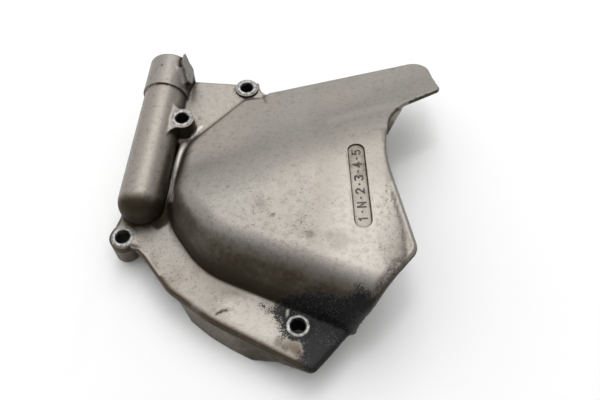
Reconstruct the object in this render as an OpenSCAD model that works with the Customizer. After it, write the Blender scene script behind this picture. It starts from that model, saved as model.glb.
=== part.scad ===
// Motorcycle sprocket cover: one pressure-cast piece
// X runs across the cover, Y along its tube to the open end, Z out of the engine.
// The origin is the axis of the lower front bolt at the mounting plane.

/* [Casting] */
// Thickness of the dome's wall
wall_t = 3.6; // [3:0.1:4.4]
// Height of the flange's outer face above the mounting plane
flange_top = 14.4; // [12.4:0.1:16.4]
// Thickness of the flange plate
flange_t = 4; // [3:0.1:5]
// Height of the web's outer face above the mounting plane
web_top = 19.4; // [18:0.1:20.4]
// Thickness of the web between tube and dome
web_t = 4; // [3:0.1:5]

/* [Dome] */
// Height of the dome's crown above the mounting plane
crown_top = 43.8; // [39:0.2:49]
// Rise of the crown towards the open side, per millimetre
crown_rise = 0.045; // [0:0.005:0.08]
// Width of the rounded shoulder where the wall is highest
shoulder_w = 18; // [13:0.5:23]
// Height of the shelf where it meets the web
shelf_low = 20.5; // [20:0.1:22]
// Slope of the shelf
shelf_slope = 0.25; // [0.18:0.01:0.32]
// Extra slope of the ramp between shelf and crown
ramp_slope = 0.31; // [0.2:0.01:0.42]

/* [Bolt bosses] */
// Diameter of the bolt holes
bolt_d = 7; // [6.2:0.1:7.6]
// Outer diameter of a boss
boss_d = 12.6; // [11.8:0.1:14]
// Outer diameter of a machined bolt seat
seat_d = 11.6; // [10.8:0.1:11.8]
// Height of a bolt seat above the casting around it
seat_h = 0.5; // [0.3:0.1:0.9]
// Height of the tall boss beside the tube
tall_top = 29.4; // [27.5:0.1:31]
// Height of the boss at the web's far corner
web_boss_top = 21.5; // [20.8:0.1:22.5]

/* [Tube] */
// Outer diameter of the tube
tube_d = 22.6; // [21:0.1:24]
// Diameter of the tube's blind bore
bore_d = 17; // [14:0.1:18]
// Depth of the bore from the rim
bore_depth = 76; // [50:1:84]
// Distance of the rim from the lower front bolt, along the tube
rim_y = 107.4; // [104:0.2:111]
// Height of the tube's axis above the mounting plane
tube_z = 20.6; // [19.6:0.1:21.6]
// Outer diameter of the collar at the rim
collar_d = 24.7; // [24.2:0.1:26]
// Length of the collar
collar_l = 21.7; // [16:0.1:26]

/* [Skirt] */
// Depth of the skirt below the mounting plane
skirt_drop = 4; // [2:0.1:6]
// Thickness of the skirt's wall
skirt_t = 4; // [3:0.1:5]
// How far the skirt's lower edge stands out beyond its top
skirt_out = 2.9; // [1:0.1:4]

/* [Number panel] */
// Length of the recessed panel
panel_l = 46.6; // [40:0.2:52]
// Width of the recessed panel
panel_w = 7.8; // [6:0.1:9]
// Depth of the recess
panel_depth = 0.8; // [0.4:0.1:1.2]

/* [Hidden] */
cast_colour = [0.55, 0.52, 0.48];

eps = 0.01;
round_step = 9;
bore_fn = 48;
full_turn = 360;

tube_x = 7.1;
tube_r = tube_d / 2;
collar_r = collar_d / 2;
tube_end_y = 17;
flange_low = flange_top - flange_t;
web_low = web_top - web_t;

// Bolt axes, in the order lower front, lower rear, tall, web corner
front_bolt = [0, 0];
rear_bolt = [89.2, -40.2];
tall_bolt = [21, 64.9];
web_bolt = [51.4, 95.6];

// Foot of the dome's wall, from past the rear cut round to the far corner: x, y and corner radius
foot_path = [[125, -46.1, 0], [41.6, -16.8, 45], [19.2, 11, 34], [21.9, 54, 22], [49.5, 89.2, 6],
             [60, 91.4, 0], [64, 106, 0]];
// Open edges of the dome, from the rear cut round the wing to the far corner
rear_cut = [112.5, -41.7, 0];
open_path = [[121.5, -37.2, 14], [139.8, -14.5, 7], [125.6, 38, 60], [129, 68.5, 24],
             [155.5, 84.2, 3], [151.2, 117.8, 9]];
dome_centre = [84, 42];

// Length of a vector in the plane
function size2(v) = sqrt(v[0] * v[0] + v[1] * v[1]);
function flat(v) = [v[0], v[1]];
function mix(a, b, t) = a + (b - a) * t;

// One rounded corner of a path as points on its arc
function corner(a, b, c, r) =
    let (u = (a - b) / size2(a - b),
         v = (c - b) / size2(c - b),
         half = acos(max(-1, min(1, u * v))) / 2,
         mid = (u + v) / size2(u + v),
         centre = b + mid * r / sin(half),
         first = b + u * r / tan(half) - centre,
         last = b + v * r / tan(half) - centre,
         start = atan2(first[1], first[0]),
         turn = (atan2(last[1], last[0]) - start + 1.5 * full_turn) % full_turn - full_turn / 2,
         steps = max(1, ceil(abs(turn) / round_step)))
    [for (k = [0 : steps]) let (t = start + turn * k / steps) centre + r * [cos(t), sin(t)]];

// A path whose vertices are x, y and corner radius, with its corners rounded
function rounded(path, closed = true) =
    let (n = len(path))
    [for (i = [0 : n - 1])
        let (b = path[i], inner = closed || (i > 0 && i < n - 1))
        each b[2] > 0 && inner
            ? corner(flat(path[(i + n - 1) % n]), flat(b), flat(path[(i + 1) % n]), b[2])
            : [flat(b)]];

foot_line = rounded(foot_path, closed = false);

// Distance of p from the segment a to b, positive on its left
function side_distance(p, a, b) =
    let (ab = b - a,
         t = max(0, min(1, (p - a) * ab / (ab * ab))),
         gap = p - (a + ab * t),
         side = ab[0] * (p[1] - a[1]) - ab[1] * (p[0] - a[0]))
    [size2(gap), side > 0 ? -1 : 1];

// Distance of p inside the foot of the dome's wall
function inside(p) =
    let (all = [for (i = [0 : len(foot_line) - 2]) side_distance(p, foot_line[i], foot_line[i + 1])],
         near = min([for (d = all) d[0]]),
         hit = [for (d = all) if (d[0] == near) d[1]])
    near * hit[0];

// The lower of two heights, blended over k
function soft_min(a, b, k) = let (h = max(k - abs(a - b), 0) / k) min(a, b) - h * h * k / 4;

// Height of the dome without its wall: a crown, and a ramp down to the shelf that becomes the wing
shelf_start = [47.8, 87.4];
shelf_dir = [0.5, -0.866];
ramp_from = 38;
ramp_blend = 4;
crown_blend = 8;
crown_mid_x = 90;
function crown_at(x) = crown_top + crown_rise * (x - crown_mid_x);
function roof(p) =
    let (crown = crown_at(p[0]),
         d = (p - shelf_start) * shelf_dir,
         shelf = shelf_low + shelf_slope * d + ramp_slope * ramp_blend * ln(1 + exp((d - ramp_from) / ramp_blend)))
    soft_min(crown, shelf, crown_blend);

shoulder_ref = 29;
shoulder_least = 4;
// Height of a skin of the dome: its wall rises from floor_z as a quarter ellipse
function skin(p, inset, floor_z) =
    let (h = roof(p) - flange_top,
         w = max(shoulder_least, shoulder_w * h / shoulder_ref),
         t = max(0, min(1, (inside(p) - inset) / w)),
         top = flange_top + h - inset * 1.04)
    floor_z + (top - floor_z) * sqrt(1 - (1 - t) * (1 - t));

// Outline of the dome: it starts where the rear cut meets the foot of the wall and runs round the
// open edges, then back along the foot of the wall
cut_marks = [0.05, 0.16, 0.34, 0.6];
longest_edge = 9;
wall_from = foot_path[5];
wall_path = [foot_path[5], foot_path[4], foot_path[3], foot_path[2], foot_path[1]];
open_line = rounded(concat([rear_cut], open_path, [wall_from]), closed = false);
wall_line = rounded(concat(wall_path, [rear_cut]), closed = false);

// A line of points with its long stretches divided
function divided(line, longest) =
    [for (i = [0 : len(line) - 2])
        let (n = ceil(size2(line[i + 1] - line[i]) / longest))
        for (k = [0 : n - 1]) mix(line[i], line[i + 1], k / n)];

cut_line = [for (t = cut_marks) mix(open_line[0], open_line[1], t)];
open_edge = concat([open_line[0]], cut_line,
                   divided([for (i = [1 : len(open_line) - 1]) open_line[i]], longest_edge));
wall_edge = divided(wall_line, longest_edge);
dome_edge = concat(open_edge, wall_edge);
edge_count = len(dome_edge);
open_count = len(open_edge);

// How far a point of the outline lies from the dome's inner skin, towards the centre
function is_wall(i) = i == 0 || i >= open_count;
function inward(i) = let (v = dome_centre - dome_edge[i]) v / size2(v);
function reach(i) = size2(dome_centre - dome_edge[i]);
function slant(i) =
    let (step = 0.5, p = dome_edge[i] + inward(i) * wall_t)
    max(0.45, (inside(p + inward(i) * step) - inside(p)) / step);
function inset(i, depth) = max(0, depth - (is_wall(i) ? 0 : max(0, inside(dome_edge[i])))) / slant(i);

// Rings of the skins, as distances from the edge and then as shares of what is left
ring_steps = [0, 0.35, 1.3, 3, 5.2, 8.2, 12, 17];
ring_shares = [0.74, 0.48, 0.22];
ring_count = len(ring_steps) + len(ring_shares);
function ring_point(i, j, depth) =
    let (start = inset(i, depth),
         last = start + ring_steps[len(ring_steps) - 1],
         from_edge = j == 0 && !is_wall(i) ? 0
             : j < len(ring_steps)
             ? start + ring_steps[j]
             : reach(i) - (reach(i) - last) * ring_shares[j - len(ring_steps)])
    dome_edge[i] + inward(i) * from_edge;

dome_lap = 2.4;
dome_floor = flange_low - dome_lap;
function skin_ring(j, depth) =
    [for (i = [0 : edge_count - 1])
        let (p = ring_point(i, j, depth), on_foot = j == 0 && is_wall(i))
        [p[0], p[1], on_foot ? dome_floor : skin(p, depth, dome_floor)]];
function skin_points(depth) =
    concat([for (j = [0 : ring_count - 1]) each skin_ring(j, depth)],
           [[dome_centre[0], dome_centre[1], skin(dome_centre, depth, dome_floor)]]);

// Faces of one skin, looking out of the casting or into it
function skin_faces(start, outward) =
    let (n = edge_count, centre = start + ring_count * n)
    concat(
        [for (j = [0 : ring_count - 2], i = [0 : n - 1])
            let (k = (i + 1) % n, a = start + j * n + i, b = start + j * n + k, c = b + n, d = a + n)
            each outward ? [[a, d, c], [a, c, b]] : [[a, b, c], [a, c, d]]],
        [for (i = [0 : n - 1])
            let (k = (i + 1) % n, a = centre - n + i, b = centre - n + k)
            outward ? [a, centre, b] : [a, b, centre]]);

// The dome with its wing: two skins joined along the edge
module dome() {
    n = edge_count;
    inner = ring_count * n + 1;
    rim = [for (i = [0 : n - 1])
        let (k = (i + 1) % n)
        each [[i, k, inner + k], [i, inner + k, inner + i]]];
    polyhedron(points = concat(skin_points(0), skin_points(wall_t)),
               faces = concat(skin_faces(0, true), skin_faces(inner, false), rim), convexity = 6);
}

// The space inside the middle of the dome's wall, which the plates stop at
space_margin = 10;
module dome_space() {
    translate([0, 0, dome_floor - space_margin])
        linear_extrude(crown_top + 2 * space_margin)
            polygon([for (i = [0 : edge_count - 1]) ring_point(i, 0, wall_t / 2)]);
}

// Outline of the front flange: its neck at the lower front bolt, lower edge and rear cut
flange_path = [[24, 62, 0], [4, 62, 0], [4, 24, 0], [-3.6, 20, 0], [-4.3, 11, 5], [-6.2, 3, 0],
               [4.2, -5, 0], [7.6, -6.2, 3], [12.8, -11.3, 8], [26.5, -26.6, 14], [48, -40.2, 60],
               [97, -61.3, 4], [104.6, -52, 0], [112.5, -41.7, 0], [106, -32, 0], [50, 0, 0], [34, 16, 0], [34, 50, 0]];
module flange() {
    translate([0, 0, flange_low]) linear_extrude(flange_t) polygon(rounded(flange_path));
}

// Outline of the web between the tube and the far bolt, with the ledge that runs down the dome
web_path = [[8, 100.4, 0], [8, 58, 0], [19.4, 57.4, 3], [19.3, 40, 30], [20.7, 19, 1.5], [28, 19, 0],
            [34, 50, 0], [64, 84, 0], [64.5, 92.6, 0], [59.4, 94.3, 6], [57.5, 101.4, 0], [45, 99.6, 0]];
module web() {
    translate([0, 0, web_low]) linear_extrude(web_t) polygon(rounded(web_path));
}

// The skirt under the flange's lower edge. It leans outward, and its lower edge climbs at both ends
skirt_path = [[12.8, -11.3, 0], [26.5, -26.6, 14], [48, -40.2, 60], [97, -61.3, 0]];
skirt_marks = [31, 33, 35.5, 39, 43, 47, 51, 55, 61, 68, 75, 81.4, 88, 94];
skirt_shallow = 1.4;
lip_bottom = [6, 9.3];
skirt_embed = 2;
skirt_setback = 0.3;
spread_from = 16;
spread_full = 58;
skirt_run = rounded(skirt_path, closed = false);
skirt_line = [for (x = skirt_marks) [x, lookup(x, skirt_run)]];
function skirt_low(x) = lookup(x, [[skirt_marks[0], flange_low - skirt_shallow], [skirt_marks[2], -skirt_drop],
                                   [skirt_marks[9], -skirt_drop], [skirt_marks[11], lip_bottom[0]],
                                   [skirt_marks[13], lip_bottom[1]]]);
function skirt_spread(x) = skirt_out * max(0, min(1, (x - spread_from) / (spread_full - spread_from)));
function skirt_section(k) =
    let (p = skirt_line[k],
         a = skirt_line[max(k - 1, 0)],
         b = skirt_line[min(k + 1, len(skirt_line) - 1)],
         out = [b[1] - a[1], a[0] - b[0]] / size2(b - a),
         low = skirt_low(p[0]),
         lean = skirt_spread(p[0]) * (flange_low - low) / (flange_low + skirt_drop),
         outer_top = p - out * skirt_setback,
         outer_low = p + out * (lean - skirt_setback),
         top = flange_low + skirt_embed)
    [[outer_top[0], outer_top[1], top],
     [outer_low[0], outer_low[1], low],
     [outer_low[0] - out[0] * skirt_t, outer_low[1] - out[1] * skirt_t, low],
     [outer_top[0] - out[0] * skirt_t, outer_top[1] - out[1] * skirt_t, top]];
module skirt() {
    last = len(skirt_line) - 1;
    sides = [for (k = [0 : last - 1], e = [0 : 3])
        let (a = 4 * k + e, b = 4 * k + (e + 1) % 4)
        each [[a, b + 4, b], [a, a + 4, b + 4]]];
    ends = [[0, 2, 3], [0, 1, 2], [4 * last, 4 * last + 2, 4 * last + 1], [4 * last, 4 * last + 3, 4 * last + 2]];
    polyhedron(points = [for (k = [0 : last]) each skirt_section(k)], faces = concat(sides, ends));
}

// A bolt post from the mounting plane to its machined seat
module post(at, top, d) {
    translate(at) {
        cylinder(h = top, d = d, $fn = bore_fn);
        cylinder(h = top + seat_h, d = seat_d, $fn = bore_fn);
    }
}
ear_d = 13.3;
module posts() {
    post(front_bolt, flange_top, ear_d);
    post(rear_bolt, flange_top, boss_d);
    post(tall_bolt, tall_top - seat_h, boss_d);
    post(web_bolt, web_boss_top - seat_h, boss_d);
}

// The web of metal from the tall post out to the tube, with hollow sides
bridge_path = [[8, 77.5, 0], [8, 52.5, 0], [14.6, 53.5, 0], [17, 59.5, 6], [22, 59, 0], [22, 71, 0],
               [17, 70.5, 6], [14.6, 76.2, 0]];
module bridge() {
    translate([0, 0, web_low]) linear_extrude(tall_top - web_low) polygon(rounded(bridge_path));
}

// The tube: a round closed end, a straight barrel and a collar at the rim
module along_tube(y) {
    translate([tube_x, y, tube_z]) rotate([-90, 0, 0]) children();
}
module tube() {
    along_tube(tube_end_y) sphere(r = tube_r, $fn = 64);
    along_tube(tube_end_y) cylinder(h = rim_y - collar_l / 2 - tube_end_y, r = tube_r, $fn = 64);
    along_tube(rim_y - collar_l) cylinder(h = collar_l, r = collar_r, $fn = 64);
}

// The hooked ear beside the collar, with a slot between them
ear_t = 2;
ear_gap = 1.3;
ear_tilt = 45;
ear_foot = 5.6;
ear_start = 90;
ear_path = [[2.6, 108.3], [-2.2, 102.6], [-ear_foot, 98.8], [-ear_foot, ear_start], [-3, 90.6], [2.8, 101]];
// The ear stands on a root on the web, which follows the ear's lower edge
ear_out = collar_r + ear_gap + ear_t / 2;
root_w = 4.4;
root_l = 9.4;
root_back = 3;
root_lap = 0.4;
root_x = tube_x + ear_out * cos(ear_tilt) + ear_foot * sin(ear_tilt) - root_back;
root_top = tube_z + ear_out * sin(ear_tilt) - ear_foot * cos(ear_tilt) + root_lap;
module hook() {
    translate([tube_x, 0, tube_z])
        rotate([0, -ear_tilt, 0])
            translate([ear_out - ear_t / 2, 0, 0])
                rotate([0, 90, 0])
                    linear_extrude(ear_t) polygon([for (p = ear_path) [-p[0], p[1]]]);
    translate([root_x, ear_start - root_lap, web_low])
        cube([root_w, root_l, root_top - web_low]);
}

// The recess for the numbers, cut square to the crown
panel_mid = [113.8, 18.8];
panel_turn = 5.8;
panel_reach = 10;
module panel_recess() {
    tilt = atan(crown_rise);
    translate([panel_mid[0], panel_mid[1], crown_at(panel_mid[0]) - panel_depth])
        rotate([0, -tilt, 0])
            rotate([0, 0, panel_turn])
                linear_extrude(panel_reach)
                    polygon(rounded([for (c = [[1, 1], [-1, 1], [-1, -1], [1, -1]])
                        [c[0] * panel_w / 2, c[1] * panel_l / 2, panel_w / 2 - eps]]));
}

hole_margin = 1.5;
module bolt_holes() {
    for (hole = [[front_bolt, flange_top], [rear_bolt, flange_top], [tall_bolt, tall_top],
                 [web_bolt, web_boss_top]])
        translate([hole[0][0], hole[0][1], -hole_margin])
            cylinder(h = hole[1] + seat_h + 2 * hole_margin, d = bolt_d, $fn = bore_fn);
}

module sprocket_cover() {
    color(cast_colour)
        difference() {
            union() {
                dome();
                difference() {
                    union() {
                        flange();
                        web();
                    }
                    dome_space();
                }
                skirt();
                posts();
                bridge();
                tube();
                hook();
            }
            bolt_holes();
            along_tube(rim_y - bore_depth) cylinder(h = bore_depth + hole_margin, d = bore_d, $fn = 64);
            panel_recess();
        }
}

sprocket_cover();
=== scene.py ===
import bpy
import math
import numpy as np
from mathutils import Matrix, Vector


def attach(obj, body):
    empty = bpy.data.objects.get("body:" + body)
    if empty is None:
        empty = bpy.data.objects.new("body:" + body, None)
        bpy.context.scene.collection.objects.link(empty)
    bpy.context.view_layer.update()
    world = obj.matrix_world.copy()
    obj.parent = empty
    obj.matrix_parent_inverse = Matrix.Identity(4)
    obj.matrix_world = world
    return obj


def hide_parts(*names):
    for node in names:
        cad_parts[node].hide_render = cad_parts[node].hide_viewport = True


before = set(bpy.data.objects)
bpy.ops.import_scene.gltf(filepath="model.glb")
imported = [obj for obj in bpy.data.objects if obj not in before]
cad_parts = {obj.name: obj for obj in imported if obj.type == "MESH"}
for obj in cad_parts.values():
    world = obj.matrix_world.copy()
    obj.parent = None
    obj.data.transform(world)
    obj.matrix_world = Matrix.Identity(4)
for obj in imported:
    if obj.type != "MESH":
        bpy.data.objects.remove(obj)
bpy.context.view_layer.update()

# Sizes in millimetres, the same as in the part's source
WALL_T, FLANGE_TOP, FLANGE_T, WEB_TOP, WEB_T = 3.6, 14.4, 4.0, 19.4, 4.0
CROWN_TOP, CROWN_RISE, CROWN_MID_X, CROWN_BLEND = 43.8, 0.045, 90, 8
SHOULDER_W, SHOULDER_REF, SHOULDER_LEAST = 18.0, 29, 4
SHELF_LOW, SHELF_SLOPE, SHELF_START, SHELF_DIR = 20.5, 0.25, (47.8, 87.4), (0.5, -0.866)
RAMP_SLOPE, RAMP_FROM, RAMP_BLEND = 0.31, 38, 4
DOME_LAP, SKIN_SLANT = 2.4, 1.04
BOLT_D, BOSS_D, SEAT_D, SEAT_H, EAR_D = 7.0, 12.6, 11.6, 0.5, 13.3
TALL_TOP, WEB_BOSS_TOP = 29.4, 21.5
TUBE_R, BORE_R, BORE_DEPTH, RIM_Y, TUBE_X, TUBE_Z = 11.3, 8.5, 76.0, 107.4, 7.1, 20.6
COLLAR_R, COLLAR_L, TUBE_END_Y = 12.35, 21.7, 17.0
EAR_T, EAR_GAP, EAR_TILT = 2.0, 1.3, math.radians(45)
SKIRT_DROP, SKIRT_T, SKIRT_OUT, SKIRT_SETBACK, SKIRT_EMBED = 4.0, 4.0, 2.9, 0.3, 2.0
SPREAD_FROM, SPREAD_FULL = 16, 58
PANEL_L, PANEL_W, PANEL_DEPTH = 46.6, 7.8, 0.8
FLANGE_LOW, WEB_LOW = FLANGE_TOP - FLANGE_T, WEB_TOP - WEB_T
DOME_FLOOR = FLANGE_LOW - DOME_LAP
FRONT_BOLT, REAR_BOLT, TALL_BOLT, WEB_BOLT = (0, 0), (89.2, -40.2), (21, 64.9), (51.4, 95.6)
BOLTS = (FRONT_BOLT, REAR_BOLT, TALL_BOLT, WEB_BOLT)
PANEL_MID, PANEL_TURN = (113.8, 18.8), math.radians(5.8)

# Outlines as x, y and corner radius
FOOT = [(125, -46.1, 0), (41.6, -16.8, 45), (19.2, 11, 34), (21.9, 54, 22), (49.5, 89.2, 6), (60, 91.4, 0),
        (64, 106, 0)]
OPEN = [(112.5, -41.7, 0), (121.5, -37.2, 14), (139.8, -14.5, 7), (125.6, 38, 60), (129, 68.5, 24),
        (155.5, 84.2, 3), (151.2, 117.8, 9), (60, 91.4, 0), (50, 108, 0), (-30, 140, 0),
        (-30, -90, 0), (100, -58, 0), (104.6, -52, 0)]
FLANGE = [(24, 62, 0), (4, 62, 0), (4, 24, 0), (-3.6, 20, 0), (-4.3, 11, 5), (-6.2, 3, 0),
          (4.2, -5, 0), (7.6, -6.2, 3), (12.8, -11.3, 8), (26.5, -26.6, 14), (48, -40.2, 60),
          (97, -61.3, 4), (104.6, -52, 0), (112.5, -41.7, 0), (106, -32, 0), (50, 0, 0), (34, 16, 0),
          (34, 50, 0)]
WEB = [(8, 100.4, 0), (8, 58, 0), (19.4, 57.4, 3), (19.3, 40, 30), (20.7, 19, 1.5), (28, 19, 0),
       (34, 50, 0), (64, 84, 0), (64.5, 92.6, 0), (59.4, 94.3, 6), (57.5, 101.4, 0), (45, 99.6, 0)]
BRIDGE = [(8, 77.5, 0), (8, 52.5, 0), (14.6, 53.5, 0), (17, 59.5, 6), (22, 59, 0), (22, 71, 0),
          (17, 70.5, 6), (14.6, 76.2, 0)]
EAR = [(2.6, 108.3, 0.4), (-2.2, 102.6, 4), (-5.6, 98.8, 3), (-5.6, 90, 1), (-3, 90.6, 1), (2.8, 101, 3)]
# Lower edge of the skirt as x and z, which climbs at both ends
SKIRT_FRONT = [(32, 9), (36.5, -SKIRT_DROP)]
SKIRT_REAR = [(68, -SKIRT_DROP), (81.4, 6), (94, 9.3)]

# Forms that only the dressed casting has: the lip along the open edge, the gusset at the wing's root,
# the slanting side of the ear's root and the well under the number panel
LIP_IN, LIP_W, LIP_H = 2.0, 2.4, 0.5
GUSSET_LINE, GUSSET_FROM_Y, GUSSET_TO_Y = [(128.5, 54.2), (135, 70.5)], 52, 78
GUSSET_UNDER, GUSSET_DEEP, GUSSET_IN = 1.9, 5.4, 2.5
ROOT_LINE, ROOT_FROM_X, ROOT_FROM_Y, ROOT_TO_Y, ROOT_TOP = [(18.4, 89.6), (21.8, 99)], 18, 87.6, 99, 26.6
EAR_SLOT_Y, EAR_SINK = 98, 1
WELL_MARGIN, WELL_EXTRA = 0.7, 0.5
FILLET = {"gusset": 0.4, "flange": 2.2, "web": 1.3, "skirt": 0.8, "tube": 1.8, "bridge": 0.7, "low boss": 1.2,
          "tall boss": 1.0, "web boss": 0.8, "ear filling": 2.8, "ear root": 1.2, "ear": 0.8}
EDGE = {"open": 1.5, "foot": 0.8, "gusset": 0.5, "flange": 2.4, "web": 1.1, "under": 0.6, "skirt": 0.8,
        "rim": 0.5, "collar": 0.35, "bridge": 0.5, "boss": 0.4, "ear": 0.4, "root": 0.5, "bore": 0.4}


# Plain functions

def smooth(t):
    t = np.clip(t, 0, 1)
    return t * t * (3 - 2 * t)


def fade(v, none, full):
    """0 where v is none, rising or falling to 1 where it is full."""
    return smooth((v - none) / (full - none))


def rounded(path, closed=True, step=6):
    """A path of x, y and corner radius as plain points."""
    out, n = [], len(path)
    for i, (x, y, r) in enumerate(path):
        if r <= 0 or (not closed and i in (0, n - 1)):
            out.append((x, y))
            continue
        a, b, c = (np.array(path[k % n][:2], float) for k in (i - 1, i, i + 1))
        u, v = (a - b) / np.linalg.norm(a - b), (c - b) / np.linalg.norm(c - b)
        half = math.acos(float(np.clip(u @ v, -1, 1))) / 2
        centre = b + (u + v) / np.linalg.norm(u + v) * r / math.sin(half)
        first, last = b + u * r / math.tan(half) - centre, b + v * r / math.tan(half) - centre
        start = math.atan2(first[1], first[0])
        turn = (math.atan2(last[1], last[0]) - start + math.pi) % (2 * math.pi) - math.pi
        steps = max(2, int(abs(math.degrees(turn)) / step) + 1)
        for k in range(steps + 1):
            t = start + turn * k / steps
            out.append(tuple(centre + r * np.array([math.cos(t), math.sin(t)])))
    return np.array(out, float)


FOOT_LINE = rounded(FOOT, closed=False)
OPEN_LINE, FLANGE_LINE, WEB_LINE, BRIDGE_LINE, EAR_LINE = map(rounded, (OPEN, FLANGE, WEB, BRIDGE, EAR))


def wall_distance(x, y):
    """Distance inside the foot of the dome's wall, in plan."""
    best, side = np.full(np.shape(x), 1e9), np.ones(np.shape(x))
    for (ax, ay), (bx, by) in zip(FOOT_LINE[:-1], FOOT_LINE[1:]):
        ex, ey = bx - ax, by - ay
        t = np.clip(((x - ax) * ex + (y - ay) * ey) / (ex * ex + ey * ey), 0, 1)
        d = (x - ax - t * ex) ** 2 + (y - ay - t * ey) ** 2
        near = d < best
        best = np.where(near, d, best)
        side = np.where(near, np.where(ex * (y - ay) - ey * (x - ax) > 0, -1.0, 1.0), side)
    return side * np.sqrt(best)


def plan_distance(x, y, line, margin=8):
    """Signed distance to a closed outline, negative inside. Beyond the margin it is only a bound."""
    lo, hi = line.min(0) - margin, line.max(0) + margin
    gap = np.sqrt(np.maximum(np.maximum(lo[0] - x, x - hi[0]), 0) ** 2
                  + np.maximum(np.maximum(lo[1] - y, y - hi[1]), 0) ** 2) + margin
    near = gap <= margin
    px, py = x[near], y[near]
    best, odd = np.full(px.shape, 1e9), np.zeros(px.shape, bool)
    for (ax, ay), (bx, by) in zip(line, np.roll(line, -1, 0)):
        ex, ey = bx - ax, by - ay
        t = np.clip(((px - ax) * ex + (py - ay) * ey) / (ex * ex + ey * ey), 0, 1)
        best = np.minimum(best, (px - ax - t * ex) ** 2 + (py - ay - t * ey) ** 2)
        if ey:
            odd ^= ((ay > py) != (by > py)) & (px < ax + ex * (py - ay) / ey)
    out = gap
    out[near] = np.where(odd, -np.sqrt(best), np.sqrt(best))
    return out


def beside(x, y, a, b):
    """Distance to the right of the line from a to b."""
    ex, ey = b[0] - a[0], b[1] - a[1]
    return (ey * (x - a[0]) - ex * (y - a[1])) / math.hypot(ex, ey)


def on_panel(across, along):
    """Place in x and y of a point of the number panel."""
    c, s = math.cos(PANEL_TURN), math.sin(PANEL_TURN)
    return PANEL_MID[0] + across * c - along * s, PANEL_MID[1] + across * s + along * c


# Solids as signed distances

def soft_min(a, b, k):
    h = np.maximum(k - np.abs(a - b), 0) / k
    return np.minimum(a, b) - h * h * k / 4


def join(a, b, r):
    """Union with a fillet of radius r."""
    u, v = np.maximum(r - a, 0), np.maximum(r - b, 0)
    return np.maximum(r, np.minimum(a, b)) - np.sqrt(u * u + v * v)


def common(a, b, r):
    """Intersection with an edge of radius r."""
    u, v = np.maximum(a + r, 0), np.maximum(b + r, 0)
    return np.minimum(-r, np.maximum(a, b)) + np.sqrt(u * u + v * v)


def plan(x, y):
    """Everything that depends on x and y alone."""
    x, y = np.broadcast_arrays(np.asarray(x, float), np.asarray(y, float))
    d = (x - SHELF_START[0]) * SHELF_DIR[0] + (y - SHELF_START[1]) * SHELF_DIR[1]
    ramp = RAMP_SLOPE * RAMP_BLEND * np.log1p(np.exp(np.clip((d - RAMP_FROM) / RAMP_BLEND, -30, 30)))
    crown = CROWN_TOP + CROWN_RISE * (x - CROWN_MID_X)
    edge = plan_distance(x, y, OPEN_LINE)
    lip = fade(np.abs(edge + LIP_IN), LIP_W, 0) * fade(x, 112, 120) * fade(y, 42, 20)
    gusset = np.maximum(beside(x, y, *GUSSET_LINE), np.maximum(GUSSET_FROM_Y - y, y - GUSSET_TO_Y))
    px, py = x - PANEL_MID[0], y - PANEL_MID[1]
    c, s = math.cos(PANEL_TURN), math.sin(PANEL_TURN)
    across, along = px * c + py * s, -px * s + py * c
    beyond = np.maximum(np.abs(along) - (PANEL_L - PANEL_W) / 2, 0)
    panel = np.sqrt(across * across + beyond ** 2) - PANEL_W / 2
    return {"wall": wall_distance(x, y), "edge": edge, "lip": lip, "gusset": gusset, "panel": panel,
            "roof": soft_min(crown, SHELF_LOW + SHELF_SLOPE * d + ramp, CROWN_BLEND),
            "flange": plan_distance(x, y, FLANGE_LINE), "web": plan_distance(x, y, WEB_LINE),
            "bridge": plan_distance(x, y, BRIDGE_LINE)}


def quarter(s, z, w, top):
    """A wall that rises from the dome's floor as a quarter ellipse."""
    b = top - DOME_FLOOR
    a1, b1 = np.maximum(w - s, 0) / w, (z - DOME_FLOOR) / b
    r = np.sqrt(a1 * a1 + b1 * b1) + 1e-6
    return (r - 1) * r / (np.sqrt((a1 / w) ** 2 + (b1 / b) ** 2) + 1e-6)


def plate(outline, z, low, top, round_top, round_low):
    return common(common(outline, z - top, round_top), low - z, round_low)


def post(x, y, z, at, top, d):
    return common(np.sqrt((x - at[0]) ** 2 + (y - at[1]) ** 2) - d / 2, np.maximum(z - top, -z), EDGE["boss"])


def dome_solid(z, q):
    """The dome with its wing and the gusset under the wing's root."""
    w = np.maximum(SHOULDER_LEAST, SHOULDER_W * (q["roof"] - FLANGE_TOP) / SHOULDER_REF)
    outer = quarter(q["wall"], z, w, q["roof"] + LIP_H * q["lip"])
    inner = quarter(q["wall"] - WALL_T, z, w, q["roof"] - WALL_T * SKIN_SLANT)
    dome = common(common(np.maximum(outer, -inner), q["edge"], EDGE["open"]), DOME_FLOOR - z, EDGE["foot"])
    gusset = common(np.maximum(q["gusset"], -GUSSET_IN - q["edge"]),
                    np.maximum(z - q["roof"] + GUSSET_UNDER, q["roof"] - GUSSET_DEEP - z), EDGE["gusset"])
    return join(dome, gusset, FILLET["gusset"])


def skirt_solid(x, z, q):
    """The skirt: it follows the flange's edge, leans outward and stays outside the dome's wall."""
    spread = np.clip((x - SPREAD_FROM) / (SPREAD_FULL - SPREAD_FROM), 0, 1)
    lean = SKIRT_OUT * spread * np.clip(FLANGE_LOW - z, 0, 20) / (FLANGE_LOW + SKIRT_DROP)
    band = np.maximum(np.abs(q["flange"] + SKIRT_T / 2 + SKIRT_SETBACK - lean) - SKIRT_T / 2, q["wall"] + 1)
    rear = np.minimum(beside(x, z, *SKIRT_REAR[:2]), beside(x, z, *SKIRT_REAR[1:]))
    below = np.maximum(np.maximum(beside(x, z, *SKIRT_FRONT), rear),
                       np.maximum(-SKIRT_DROP - z, x - SKIRT_REAR[-1][0]))
    return common(band, np.maximum(below, z - FLANGE_LOW - SKIRT_EMBED), EDGE["skirt"])


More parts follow.
